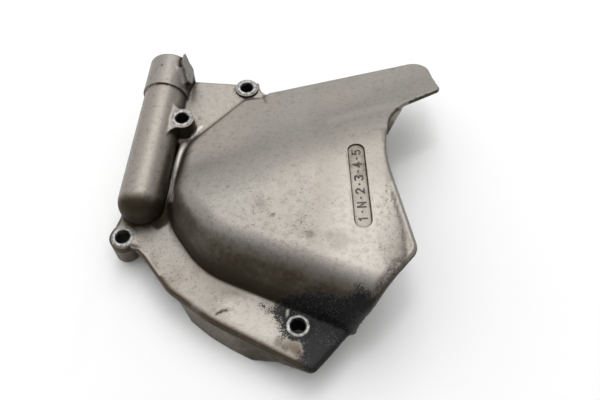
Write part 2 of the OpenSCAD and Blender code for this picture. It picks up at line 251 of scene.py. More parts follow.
def with_ear(body, x, y, z):
    """The body with the hooked ear, which is open to the collar above its slot and filled below it."""
    ax, az = x - TUBE_X, z - TUBE_Z
    c, s = math.cos(EAR_TILT), math.sin(EAR_TILT)
    out, across = ax * c + az * s, az * c - ax * s
    outline = plan_distance(*np.broadcast_arrays(across, y + 0 * across), EAR_LINE)
    ear = common(outline, np.abs(out - COLLAR_R - EAR_GAP - EAR_T / 2) - EAR_T / 2, EDGE["ear"])
    sides = np.maximum(ROOT_FROM_X - x, beside(x, y, *ROOT_LINE))
    root = common(np.maximum(sides, np.maximum(ROOT_FROM_Y - y, y - ROOT_TO_Y)),
                  np.maximum(WEB_LOW - z, z - ROOT_TOP), EDGE["root"])
    filling = common(np.maximum(outline, y - EAR_SLOT_Y),
                     np.maximum(out - COLLAR_R - EAR_GAP - EAR_T, COLLAR_R - EAR_SINK - out), EDGE["ear"])
    body = join(body, filling, FILLET["ear filling"])
    return join(body, join(ear, root, FILLET["ear root"]), FILLET["ear"])


def solid(x, y, z, q=None):
    """The casting: negative inside, in millimetres."""
    q = q or plan(x, y)
    space = q["wall"] - WALL_T * 0.6
    flange = np.maximum(plate(q["flange"], z, FLANGE_LOW, FLANGE_TOP, EDGE["flange"], EDGE["under"]), space)
    web = np.maximum(plate(q["web"], z, WEB_LOW, WEB_TOP, EDGE["web"], EDGE["under"]), space)
    body = join(dome_solid(z, q), flange, FILLET["flange"])
    body = join(body, web, FILLET["web"])
    body = join(body, skirt_solid(x, z, q), FILLET["skirt"])
    radial = np.sqrt((x - TUBE_X) ** 2 + (z - TUBE_Z) ** 2)
    ball = np.sqrt(radial ** 2 + np.minimum(y - TUBE_END_Y, 0) ** 2)
    tube = common(ball - TUBE_R, y - RIM_Y, EDGE["rim"])
    collar = common(radial - COLLAR_R, np.maximum(RIM_Y - COLLAR_L - y, y - RIM_Y), EDGE["collar"])
    body = join(body, np.minimum(tube, collar), FILLET["tube"])
    bridge = plate(q["bridge"], z, WEB_LOW, TALL_TOP - SEAT_H, EDGE["bridge"], EDGE["bridge"])
    body = join(body, bridge, FILLET["bridge"])
    for at, top, d, fillet in ((FRONT_BOLT, FLANGE_TOP, EAR_D, "low boss"),
                               (REAR_BOLT, FLANGE_TOP, BOSS_D, "low boss"),
                               (TALL_BOLT, TALL_TOP - SEAT_H, BOSS_D, "tall boss"),
                               (WEB_BOLT, WEB_BOSS_TOP - SEAT_H, BOSS_D, "web boss")):
        body = join(body, post(x, y, z, at, top, d), FILLET[fillet])
    body = with_ear(body, x, y, z)
    for at in BOLTS:
        body = np.maximum(body, BOLT_D / 2 - np.sqrt((x - at[0]) ** 2 + (y - at[1]) ** 2))
    bore = np.maximum(radial - BORE_R, RIM_Y - BORE_DEPTH - y)
    body = common(body, -bore, EDGE["bore"])
    # A well a little larger than the panel, which the fine panel piece lines
    return np.maximum(body, -np.maximum(q["panel"] - WELL_MARGIN, q["roof"] - PANEL_DEPTH - WELL_EXTRA - z))


# Surface of the solid on a grid, with sharp edges kept

def spaced(start, *runs):
    """Grid lines: each run is where it ends and about how far apart its lines are."""
    out = [start]
    for end, step in runs:
        out += list(np.linspace(out[-1], end, int(math.ceil((end - out[-1]) / step)) + 1)[1:])
    return np.array(out)


def gradient(p, e=0.04):
    x, y, z = p.T
    q = plan(x, y)
    f = solid(x, y, z, q)
    g = np.stack([solid(x + e, y, z) - f, solid(x, y + e, z) - f, solid(x, y, z + e, q) - f], 1)
    return g / (np.linalg.norm(g, axis=1)[:, None] + 1e-9)


def crossings(inside, cells):
    """Grid edges that pass through the surface, and for each the four cells around it."""
    starts, ends, quads, flips = [], [], [], []
    for axis in range(3):
        a, b = [slice(None)] * 3, [slice(None)] * 3
        a[axis], b[axis] = slice(0, -1), slice(1, None)
        i = np.argwhere(inside[tuple(a)] != inside[tuple(b)])
        u, v = (axis + 1) % 3, (axis + 2) % 3
        i = i[(i[:, u] > 0) & (i[:, v] > 0) & (i[:, u] < cells[u]) & (i[:, v] < cells[v])]
        j = i.copy()
        j[:, axis] += 1
        ring = []
        for du, dv in ((-1, -1), (0, -1), (0, 0), (-1, 0)):
            c = i.copy()
            c[:, u] += du
            c[:, v] += dv
            ring.append((c[:, 0] * cells[1] + c[:, 1]) * cells[2] + c[:, 2])
        starts.append(i)
        ends.append(j)
        quads.append(np.stack(ring, 1))
        flips.append(inside[tuple(i.T)])
    return [np.concatenate(v) for v in (starts, ends, quads, flips)]


def contour(*axes, margin=0.02, pull=0.08, slab=8):
    """Points and quads of the casting's surface, with one point in each cell that it passes through.
    The pull holds a point near the middle of its crossings where the surface is flat."""
    gx, gy, gz = axes
    n = np.array([len(a) for a in axes])
    q = {k: v[:, :, None] for k, v in plan(gx[:, None], gy[None, :]).items()}
    field = np.empty(n)
    for k in range(0, n[2], slab):
        field[:, :, k:k + slab] = solid(gx[:, None, None], gy[None, :, None], gz[None, None, k:k + slab], q)
    cells = n - 1
    i, j, quads, first_inside = crossings(field < 0, cells)
    at = lambda index: np.stack([axes[k][index[:, k]] for k in range(3)], 1)
    p, r = at(i), at(j)
    fp, fr = field[tuple(i.T)], field[tuple(j.T)]
    for _ in range(3):
        t = np.clip(fp / (fp - fr), margin, 1 - margin)[:, None]
        m = p + (r - p) * t
        fm = solid(*m.T)
        same = (fm < 0) == (fp < 0)
        p, fp = np.where(same[:, None], m, p), np.where(same, fm, fp)
        r, fr = np.where(same[:, None], r, m), np.where(same, fr, fm)
    hit = p + (r - p) * np.clip(fp / (fp - fr), 0, 1)[:, None]
    normal = gradient(hit)
    ids, back = np.unique(quads, return_inverse=True)
    back = back.reshape(quads.shape)
    count, flat = len(ids), back.ravel()
    total = lambda v: np.bincount(flat, np.repeat(v, 4), count)
    weight = np.bincount(flat, minlength=count)
    mean = np.stack([total(hit[:, k]) for k in range(3)], 1) / weight[:, None]
    ata = np.empty((count, 3, 3))
    for a in range(3):
        for b in range(a, 3):
            ata[:, a, b] = ata[:, b, a] = total(normal[:, a] * normal[:, b])
    along = (normal * hit).sum(1)
    atb = np.stack([total(normal[:, k] * along) for k in range(3)], 1)
    rest = atb - np.einsum("nij,nj->ni", ata, mean)
    shift = np.linalg.solve(ata + pull * np.eye(3), rest[:, :, None])[:, :, 0]
    cell = np.stack(np.unravel_index(ids, cells), 1)
    low, high = at(cell), at(cell + 1)
    verts = np.clip(mean + shift, low + margin * (high - low), high - margin * (high - low))
    return verts, np.where(first_inside[:, None], back, back[:, ::-1])


def mesh_object(name, verts, faces, smooth_angle=None):
    """An object from points in millimetres."""
    mesh = bpy.data.meshes.new(name)
    verts, faces = np.asarray(verts, float), np.asarray(faces)
    mesh.vertices.add(len(verts))
    mesh.vertices.foreach_set("co", (verts * 0.001).ravel())
    mesh.loops.add(faces.size)
    mesh.loops.foreach_set("vertex_index", faces.ravel().astype(np.int32))
    mesh.polygons.add(len(faces))
    mesh.polygons.foreach_set("loop_start", np.arange(len(faces), dtype=np.int32) * faces.shape[1])
    mesh.update(calc_edges=True)
    mesh.validate()
    mesh.shade_smooth()
    if smooth_angle:
        mesh.set_sharp_from_angle(angle=math.radians(smooth_angle))
    obj = bpy.data.objects.new(name, mesh)
    bpy.context.scene.collection.objects.link(obj)
    return obj


def store(obj, name, values):
    layer = obj.data.attributes.new(name, "FLOAT", "POINT")
    layer.data.foreach_set("value", np.asarray(values, np.float32))


def store_all(obj, values):
    for name, v in values.items():
        store(obj, name, v)


# The photographed view. Wear, dirt, painted shadows and painted highlights are placed in it, so that they go
# where they are on the real cover
EYE = np.array([96.51, -141.64, 282.4])
TURN, DIP, LENS, SENSOR = math.radians(3.65), math.radians(57.75), 37.2, 36
VIEW_W, VIEW_H = 600, 400
AHEAD = np.array([-math.sin(TURN) * math.cos(DIP), math.cos(TURN) * math.cos(DIP), -math.sin(DIP)])

# Areas of the view, as points across and down
GREASE = [(262, 304), (272, 308), (283, 298), (296, 293), (321, 291), (338, 296), (350, 294), (358, 287),
          (366, 291), (379, 297), (374, 306), (354, 335), (347, 347), (314, 380), (303, 368), (293, 357),
          (291, 350), (299, 346), (290, 341), (283, 337), (281, 328), (277, 319), (270, 312)]
TAN = [(286, 341), (300, 343), (305, 352), (303, 361), (296, 358), (288, 350)]
CUT_DIRT = [(393, 259), (406, 255), (406, 264), (399, 272), (392, 280), (382, 290), (372, 294), (376, 283),
            (386, 270)]
REAR_EDGE = [(393, 190), (398, 206), (402.5, 222), (406, 240), (406.5, 256)]
REAR_DIRT = REAR_EDGE + [(399, 262), (386, 266), (376, 240), (378, 205), (386, 180)]
WORN_FLANGE = [(218, 302), (238, 295), (262, 290), (277, 314), (283, 334), (270, 342), (246, 333), (228, 322)]
# A painted highlight on the crown's lower right
CROWN_HIGHLIGHT = [(322, 205), (345, 165), (388, 185), (400, 215), (396, 252), (376, 286), (348, 284), (326, 262)]
# Lines of the view, with half their width and their strength
# The fourth dark line is painted shade on the dome's wall beside the tube's end, and the fifth and the last
# are painted shadows of the ear on the collar; the others are plain dark lines
DARK_LINES = [([(393, 194), (396, 205), (400, 220), (403, 232), (405, 245), (405, 256)], 1.7, 0.6),
              ([(263, 96), (266, 102)], 1.1, 0.7),
              ([(219.5, 312.5), (222.5, 310.7), (227, 310.2)], 1.5, 1.1),
              ([(178, 200), (183, 215), (191, 231)], 6.5, 0.45),
              ([(181, 70), (184.5, 80), (189, 88)], 3.2, 0.62),
              ([(384, 130), (387, 152), (391, 178)], 3.0, 0.3),
              ([(187, 155), (192, 151)], 0.9, 0.5),
              ([(181, 62), (183, 68), (185, 72)], 1.4, 0.8)]
# Bright lines: painted highlights along the ridge of the ledge, on the web by the tall boss and near the
# front boss, and one short bright line
BRIGHT_LINES = [([(185, 144), (180.5, 152), (176.5, 162), (174, 172), (172, 186), (171, 200)], 1.9, 1.0),
                ([(201, 127), (196, 132), (192, 137)], 1.2, 0.9),
                ([(287.5, 309), (287, 314), (288, 318)], 0.55, 0.8),
                ([(131, 246.5), (140, 249), (146, 255), (155, 268), (160, 275)], 0.9, 0.6)]
# A painted shadow in the valley below the tube's end
BELOW_TUBE_SHADOW = ([(172.5, 203), (168, 213), (164, 221), (158, 225)], 4.5, 0.9)
# A painted highlight along the crease between the crown and the wing
WING_CREASE_HIGHLIGHT = ([(330, 121), (361, 112), (396, 104)], 3.0, 0.6)
# Spots of the view, with their radius and their strength
DARK_SPOTS = [(216.5, 314, 1.5, 1), (200, 119, 1.5, 0.5), (162, 65, 1.2, 0.8), (273, 215, 2.2, 0.7),
              (261, 203, 4.5, 0.25), (310, 234, 4, 0.4), (219, 147, 1.1, 0.6), (225, 150, 0.9, 0.5),
              (201, 170, 1, 0.4), (227, 187, 1.3, 0.4), (295, 252, 1.5, 0.4), (340, 240, 9, 0.18),
              (330, 235, 5, 0.2), (272, 270, 5, 0.2), (304, 283, 1.6, 0.5), (297, 349, 3, 0.2),
              (255, 262, 1.2, 0.4), (283, 241, 1.2, 0.4), (396, 265, 3.5, 0.7), (379, 287, 3.5, 0.8),
              (279, 343, 5, 0.4), (285, 347, 4, 0.45)]


def seen(p):
    """Places of points in the view."""
    right = np.array([math.cos(TURN), math.sin(TURN), 0])
    up = np.cross(right, AHEAD)
    d = p - EYE
    scale = LENS / SENSOR * VIEW_W / (d @ AHEAD)
    return VIEW_W / 2 + (d @ right) * scale, VIEW_H / 2 - (d @ up) * scale


def area(u, v, outline):
    """Depth inside an outline, negative outside it."""
    return -plan_distance(u, v, np.array(outline, float))


def line_distance(u, v, points):
    best = np.full(u.shape, 1e9)
    for (ax, ay), (bx, by) in zip(points[:-1], points[1:]):
        ex, ey = bx - ax, by - ay
        t = np.clip(((u - ax) * ex + (v - ay) * ey) / (ex * ex + ey * ey), 0, 1)
        best = np.minimum(best, np.hypot(u - ax - t * ex, v - ay - t * ey))
    return best


def stroke(u, v, points, half, level):
    """A level on a line of points, fading out at half its width."""
    return level * fade(line_distance(u, v, points), 1.5 * half, 0.5 * half)


def spot(u, v, su, sv, r, level):
    return level * fade(np.hypot(u - su, v - sv), 1.5 * r, 0.5 * r)


def closed_in(p, normal, reach):
    """How closed in a point is by the casting in front of it, from 0 to 1."""
    return np.clip(1 - solid(*(p + normal * reach).T) / reach, 0, 1)


def on_tube(x, y, z):
    """1 on the skin of the tube and its round end."""
    radial = np.hypot(x - TUBE_X, z - TUBE_Z)
    return smooth(1.6 - np.abs(np.hypot(radial, np.minimum(y - TUBE_END_Y, 0)) - TUBE_R))


def shade_and_grime_at(p, normal, q, u, v, facing):
    """Painted shade with road dirt: darker on steep walls and faces turned to the front, towards the foot of
    the dome's wall, on the tube's round end, in corners, under the tube's end and in the bolt holes.
    """
    x, y, z = p.T
    nx, ny, nz = normal.T
    shaded = fade(0.45 * nx - 0.89 * ny, 0.1, 0.65) * fade(nz, 0.86, 0.51)
    wall = fade(nz, 0.89, 0.51) * (q["wall"] > -2) * (q["wall"] < 15) * (z > 14) * (nz > -0.2)
    end = 1.15 * fade(y, 20, 8) * on_tube(x, y, z) * (y > 4)
    # Painted shade: steep walls and faces turned to the front and right get darker, the walls more so towards
    # their foot, and the tube's round end darker towards its end
    shade_and_grime = np.maximum(np.maximum(0.84 * shaded, 0.72 * wall), end) + 0.62 * wall * fade(z, 27, 16)
    # Painted shade in corners and hollows, from how closed in each point is
    shade_and_grime += 0.85 * closed_in(p, normal, 2.2) ** 1.3 + 0.25 * closed_in(p, normal, 7)
    # A painted shadow below the tube's end
    shade_and_grime += stroke(u, v, *BELOW_TUBE_SHADOW) * facing * (z < 24)
    # The wing's root, the ear's root, the skirt and the step of the collar get less painted shade than their
    # corners
    at_wing = (q["gusset"] < 2) & (z < q["roof"] - 1.0) & (x > 118)
    shade_and_grime = np.where(at_wing, 0.35 + 0.6 * fade(y, 66, 50), shade_and_grime)
    at_ear = (x > 15) & (x < 28) & (y > 86) & (y < 101) & (z > 22)
    shade_and_grime = np.where(at_ear, 0.6 * shade_and_grime, shade_and_grime)
    at_skirt, most = (z < 10.2) & (q["flange"] > -5), 0.5 + 0.25 * fade(x, 55, 69) + 0.12 * fade(x, 9, 4)
    shade_and_grime = np.where(at_skirt, np.minimum(shade_and_grime, most), shade_and_grime)
    at_step = (np.abs(y - RIM_Y + COLLAR_L) < 1) & (np.hypot(x - TUBE_X, z - TUBE_Z) > TUBE_R - 0.6)
    shade_and_grime = np.where(at_step, np.minimum(shade_and_grime, 0.6), shade_and_grime)
    # Painted shade inside the bolt holes
    for at in BOLTS:
        shade_and_grime += 2.0 * (np.hypot(x - at[0], y - at[1]) < BOLT_D / 2 + 0.3)
    return np.clip(shade_and_grime, 0, 1.5)


def marks_and_shadows_at(u, v, rear):
    """Dark dirt along the rear edge, and single dark lines and spots; some of the lines are painted shadows.
    """
    at_edge = fade(v, 200, 230) * np.exp(-line_distance(u, v, REAR_EDGE) / 3.0)
    in_cut = 0.75 * np.clip(area(u, v, CUT_DIRT) / 5 + 0.6, 0, 1)
    marks_and_shadows = np.maximum(in_cut, rear * (0.1 * fade(v, 205, 245) + at_edge))
    for line in DARK_LINES:
        marks_and_shadows = np.maximum(marks_and_shadows, stroke(u, v, *line))
    for place in DARK_SPOTS:
        marks_and_shadows = np.maximum(marks_and_shadows, spot(u, v, *place))
    return marks_and_shadows


def masks(p, normal):
    """Dirt, wear, painted shade, painted shadows and painted highlights at each point, most of them from 0 to
    1. Grease is negative where there is none.
    """
    x, y, z = p.T
    q = plan(x, y)
    u, v = seen(p)
    to_eye = EYE - p
    facing = np.clip((normal * to_eye).sum(1) / np.linalg.norm(to_eye, axis=1) * 4, 0, 1)
    # Brown dirt and painted shade on the flange's rounded edge at the front
    rim = fade(q["flange"], -3.1, -1.1) * fade(z, 15, 14.5) * fade(z, 9.5, 10.5) * (q["wall"] < 0) * (y < 30)
    rear = fade(area(u, v, REAR_DIRT), -2.5, 2.5)
    pitted = np.clip(0.35 * fade(v, 150, 240) * (1 - on_tube(x, y, z)) + rear, 0, 1)
    pitted = pitted * fade(normal[:, 2], 0.8, 0.95)
    bright = np.zeros(len(p))
    for line in BRIGHT_LINES:
        bright = np.maximum(bright, stroke(u, v, *line))
    # Rubbed paint on the flange, and painted highlights on the crown and along the wing's crease
    wear_and_highlight = np.clip(area(u, v, WORN_FLANGE) / 7 + 0.4, 0, 1.4)
    wear_and_highlight = np.maximum(wear_and_highlight, fade(area(u, v, CROWN_HIGHLIGHT), -25, 25))
    wear_and_highlight = np.maximum(wear_and_highlight, stroke(u, v, *WING_CREASE_HIGHLIGHT))
    return {"shade_and_grime": shade_and_grime_at(p, normal, q, u, v, facing), "rim": rim, "pitted": pitted,
            "grease": np.clip(area(u, v, GREASE) / 14, -1, 1) * facing - (1 - facing),
            "tan": fade(area(u, v, TAN), -4, 4) * facing, "marks_and_shadows": marks_and_shadows_at(u, v, rear) * facing,
            "wear_and_highlight": wear_and_highlight * facing, "bright": bright * facing}


def cast_piece():
    """The casting, with finer grid lines at the tube, the ear and the web's far corner."""
    step = 1.0
    verts, faces = contour(spaced(-9.5, (27, 0.8 * step), (158.5, 1.05 * step)),
                           spaced(-65.5, (83, step), (110, 0.7 * step), (118.5, step)),
                           spaced(-6.5, (49, 0.95 * step)))
    obj = mesh_object("cast_cover", verts, faces, 42)
    store_all(obj, masks(verts, gradient(verts)))
    return obj


# Offset from the panel's edge, height over the dome's skin and dirt with painted shade, from outside to the
# middle
PANEL_PROFILE = [(3.0, -0.07, 0), (2.3, -0.004, 0), (1.6, 0.012, 0), (0.75, 0.012, 0.0), (0.4, 0.012, 0.1),
                 (0.2, 0.0, 0.35), (0.08, -0.08, 0.6), (0.0, -0.25, 0.75), (-0.06, -0.66, 0.8),
                 (-0.16, -0.77, 0.75), (-0.34, -0.8, 0.5), (-0.6, -0.8, 0.34), (-1.4, -0.8, 0.28),
                 (-2.6, -0.8, 0.26), (-3.88, -0.8, 0.26)]


def panel_piece():
    """The recessed panel: a fine lining whose outer edge lies just under the dome's skin."""
    half, r, ends = (PANEL_L - PANEL_W) / 2, PANEL_W / 2, 20
    ring = [(math.cos(t), math.sin(t), half) for t in np.linspace(0, math.pi, ends)]
    ring += [(math.cos(t), math.sin(t), -half) for t in np.linspace(math.pi, 2 * math.pi, ends)]
    pts, recess_shade_and_dirt = [], []
    for off, h, d in PANEL_PROFILE:
        for cx, cy, mid in ring:
            pts.append((*on_panel(cx * (r + off), cy * (r + off) + mid), h))
            # Dirt and painted shade, darkest at the recess's edge and strongest on its side towards +x
            recess_shade_and_dirt.append(d * (1.15 if cx > 0.3 else 1.0 if h < -0.1 or cy < -0.3 else 0.8))
    pts = np.array(pts)
    pts[:, 2] += plan(pts[:, 0], pts[:, 1])["roof"]
    n = len(ring)
    quads = [(j * n + i, (j + 1) * n + i, (j + 1) * n + (i + 1) % n, j * n + (i + 1) % n)
             for j in range(len(PANEL_PROFILE) - 1) for i in range(n)]
    obj = mesh_object("number_panel", pts, quads, 50)
    values = masks(pts, np.tile([-CROWN_RISE, 0, 1.0], (len(pts), 1)))
    values["shade_and_grime"] = np.array(recess_shade_and_dirt)
    store_all(obj, values)
    return obj


# Strokes of the plain numerals 1 to 5, a neutral mark and dots, each in a box 1 wide and 1.5 high
GLYPHS = {
    "1": [(0.25, 1.2), (0.55, 1.5), (0.55, 0)],
    "N": [(0.1, 0), (0.1, 1.5), (0.9, 0), (0.9, 1.5)],
    "2": [(0.1, 1.2), (0.3, 1.5), (0.7, 1.5), (0.9, 1.2), (0.85, 0.9), (0.1, 0), (0.9, 0)],
    "3": [(0.1, 1.4), (0.4, 1.5), (0.8, 1.4), (0.85, 1.1), (0.5, 0.8), (0.85, 0.5), (0.8, 0.1), (0.4, 0),
          (0.1, 0.15)],
    "4": [(0.65, 0), (0.65, 1.5), (0.1, 0.45), (0.95, 0.45)],
    "5": [(0.85, 1.5), (0.2, 1.5), (0.15, 0.85), (0.6, 0.9), (0.88, 0.55), (0.8, 0.12), (0.4, 0),
          (0.1, 0.15)],
    ".": [(0.47, 0.75), (0.53, 0.75)],
}
NUMERAL_ROW, ROW_L = "1.N.2.3.4.5", 37.2
NUMERAL_W, NUMERAL_SQUEEZE, STROKE_HALF, STROKE_H = 2.9, 0.84, 0.46, 0.22


def numerals():
    """Raised strokes on the panel's floor, read from below upwards."""
    pts, quads = [], []
    foot, top = (STROKE_HALF, -PANEL_DEPTH - 0.1), (STROKE_HALF * 0.6, -PANEL_DEPTH + STROKE_H)
    for k, letter in enumerate(NUMERAL_ROW):
        mid = ROW_L * (k / (len(NUMERAL_ROW) - 1) - 0.5)
        line = [((0.75 - b) * NUMERAL_W * NUMERAL_SQUEEZE, mid + (a - 0.5) * NUMERAL_W)
                for a, b in GLYPHS[letter]]
        for (ax, ay), (bx, by) in zip(line[:-1], line[1:]):
            run = math.hypot(bx - ax, by - ay)
            ex, ey = (bx - ax) / run, (by - ay) / run
            base = len(pts)
            for wide, h in (foot, top):
                for t, side in ((0, 1), (1, 1), (1, -1), (0, -1)):
                    out, off = run * t + STROKE_HALF * (0.6 if t else -0.6), wide * side
                    pts.append((*on_panel(ax + ex * out - ey * off, ay + ey * out + ex * off), h))
            quads += [tuple(base + i for i in f) for f in
                      ((7, 6, 5, 4), (0, 1, 2, 3), (4, 5, 1, 0), (5, 6, 2, 1), (6, 7, 3, 2), (7, 4, 0, 3))]
    pts = np.array(pts)
    pts[:, 2] += plan(pts[:, 0], pts[:, 1])["roof"]
    return mesh_object("panel_numerals", pts, quads, 30)


def turned(name, at, profile, turns=96):
    """A ring turned about a vertical axis: profile is radius and height."""
    ring = np.array(profile, float)
    t = np.linspace(0, 2 * math.pi, turns, endpoint=False)
    pts = np.stack([at[0] + ring[None, :, 0] * np.cos(t)[:, None],
                    at[1] + ring[None, :, 0] * np.sin(t)[:, None],
                    np.broadcast_to(ring[None, :, 1], (turns, len(ring)))], 2).reshape(-1, 3)
    m = len(ring)
    quads = [(i * m + k, ((i + 1) % turns) * m + k, ((i + 1) % turns) * m + (k + 1) % m, i * m + (k + 1) % m)
             for i in range(turns) for k in range(m)]
    return mesh_object(name, pts, quads, 30)


def seat_ring(name, at, top):
    """The machined seat of a bolt, with its edges broken and its sides sunk into the boss."""
    r, s = BOLT_D / 2 - 0.04, SEAT_D / 2
    return turned(name, at, [(r, top - 2.4), (r, top - 0.5), (r + 0.45, top - 0.05), (r + 0.7, top),
                             (s - 0.75, top), (s - 0.55, top - 0.05), (s, top - 0.45), (s, top - 1.6)])


cover = cast_piece()
panel, numeral_row = panel_piece(), numerals()
seats = [seat_ring("seat_lower_front", FRONT_BOLT, FLANGE_TOP + SEAT_H),
         seat_ring("seat_lower_rear", REAR_BOLT, FLANGE_TOP + SEAT_H),
         seat_ring("seat_tall_boss", TALL_BOLT, TALL_TOP),
         seat_ring("seat_web_corner", WEB_BOLT, WEB_BOSS_TOP)]

# Base colours
SILVER_COOL, SILVER_WARM, SILVER_PALE = (0.272, 0.259, 0.232), (0.300, 0.271, 0.238), (0.31, 0.292, 0.264)
PORE, GRAIN, STREAK = (0.155, 0.139, 0.119), (0.36, 0.339, 0.310), (0.23, 0.208, 0.178)
# The last colour here paints rubbed paint and painted highlights
STAIN, PIT, WORN_PAINT_AND_HIGHLIGHT = (0.20, 0.165, 0.130), (0.085, 0.070, 0.056), (0.405, 0.379, 0.345)
# Brown dirt with painted shade for the rim, then painted shade with road dirt, thin and deep
RIM_DIRT_AND_SHADE, THIN_SHADE_AND_GRIME, DEEP_SHADE_AND_GRIME = (0.080, 0.054, 0.034), (0.21, 0.181, 0.124), (0.034, 0.0255, 0.0135)
# The first colour paints dark spots and painted shadows, the last bare metal and painted highlights
MARK_AND_SHADOW, TAN_DIRT, RUBBED_METAL_AND_HIGHLIGHT = (0.06, 0.048, 0.038), (0.105, 0.077, 0.056), (0.66, 0.62, 0.57)
GREASE_BLACK, GREASE_GLINT = (0.008, 0.008, 0.0085), (0.11, 0.105, 0.10)
SEAT_DARK, SEAT_GREY, SEAT_BRIGHT = (0.16, 0.16, 0.155), (0.42, 0.42, 0.412), (0.68, 0.68, 0.67)
NUMERAL_DARK, NUMERAL_LIGHT = (0.03, 0.026, 0.022), (0.16, 0.145, 0.125)
# The dark floor colour is painted shade under the cover
FLOOR_PALE, FLOOR_PAINTED_SHADE = (0.9, 0.9, 0.9), (0.2, 0.2, 0.2)


class Nodes:
    """Short forms for the nodes of one material."""

    def __init__(self, name):
        self.material = bpy.data.materials.new(name)
        self.material.use_nodes = True
        self.tree = self.material.node_tree
        self.bsdf = self.tree.nodes["Principled BSDF"]
        self.place = self.tree.nodes.new("ShaderNodeTexCoord").outputs["Object"]

    def new(self, kind):
        return self.tree.nodes.new("ShaderNode" + kind)

    def put(self, socket, v):
        if hasattr(v, "is_linked"):
            self.tree.links.new(v, socket)
        elif isinstance(v, tuple):
            socket.default_value = v + (1,)
        else:
            socket.default_value = v

    def math(self, op, a, b=0.0, clamp=False):
        m = self.new("Math")
        m.operation, m.use_clamp = op, clamp
        self.put(m.inputs[0], a)
        self.put(m.inputs[1], b)
        return m.outputs[0]

    def add(self, a, b, clamp=False):
        return self.math("ADD", a, b, clamp)

    def less(self, a, b):
        return self.math("SUBTRACT", a, b)

    def times(self, a, b):
        return self.math("MULTIPLY", a, b)

    def most(self, a, b):
        return self.math("MAXIMUM", a, b)

    def about_zero(self, noise, size):
        return self.times(self.less(noise, 0.5), size)

    def attr(self, name):
        a = self.new("Attribute")
        a.attribute_name = name
        return a.outputs["Fac"]

    def noise(self, scale, detail=2.0, rough=0.5, stretch=None):
        t = self.new("TexNoise")
        t.inputs["Scale"].default_value, t.inputs["Detail"].default_value = scale, detail
        t.inputs["Roughness"].default_value = rough
        place = self.place
        if stretch:
            m = self.new("Mapping")
            self.put(m.inputs["Vector"], place)
            m.inputs["Scale"].default_value = stretch
            place = m.outputs[0]
        self.put(t.inputs["Vector"], place)
        return t.outputs["Fac"]

    def step(self, v, low, high, to=1.0):
        m = self.new("MapRange")
        m.interpolation_type = "SMOOTHSTEP"
        self.put(m.inputs["Value"], v)
        for key, value in (("From Min", low), ("From Max", high), ("To Min", 0.0), ("To Max", to)):
            m.inputs[key].default_value = value
        return m.outputs[0]

    def mix(self, t, a, b):
        """A colour between two colours."""
        m = self.new("Mix")
        m.data_type = "RGBA"
        self.put(m.inputs[0], t)
        self.put(m.inputs[6], a)
        self.put(m.inputs[7], b)
        return m.outputs[2]

    def between(self, t, a, b):
        """A value between two values."""
        m = self.new("Mix")
        self.put(m.inputs[0], t)
        self.put(m.inputs[2], a)
        self.put(m.inputs[3], b)
        return m.outputs[0]

    def bump(self, height, strength, distance, under=None):
        b = self.new("Bump")
        b.inputs["Strength"].default_value, b.inputs["Distance"].default_value = strength, distance
        self.put(b.inputs["Height"], height)
        if under:
            self.put(b.inputs["Normal"], under)
        return b.outputs[0]

    def finish(self, **values):
        """Sets inputs of the surface, named with underscores for spaces."""
        for name, v in values.items():
            self.put(self.bsdf.inputs[name.replace("_", " ")], v)
        return self.material


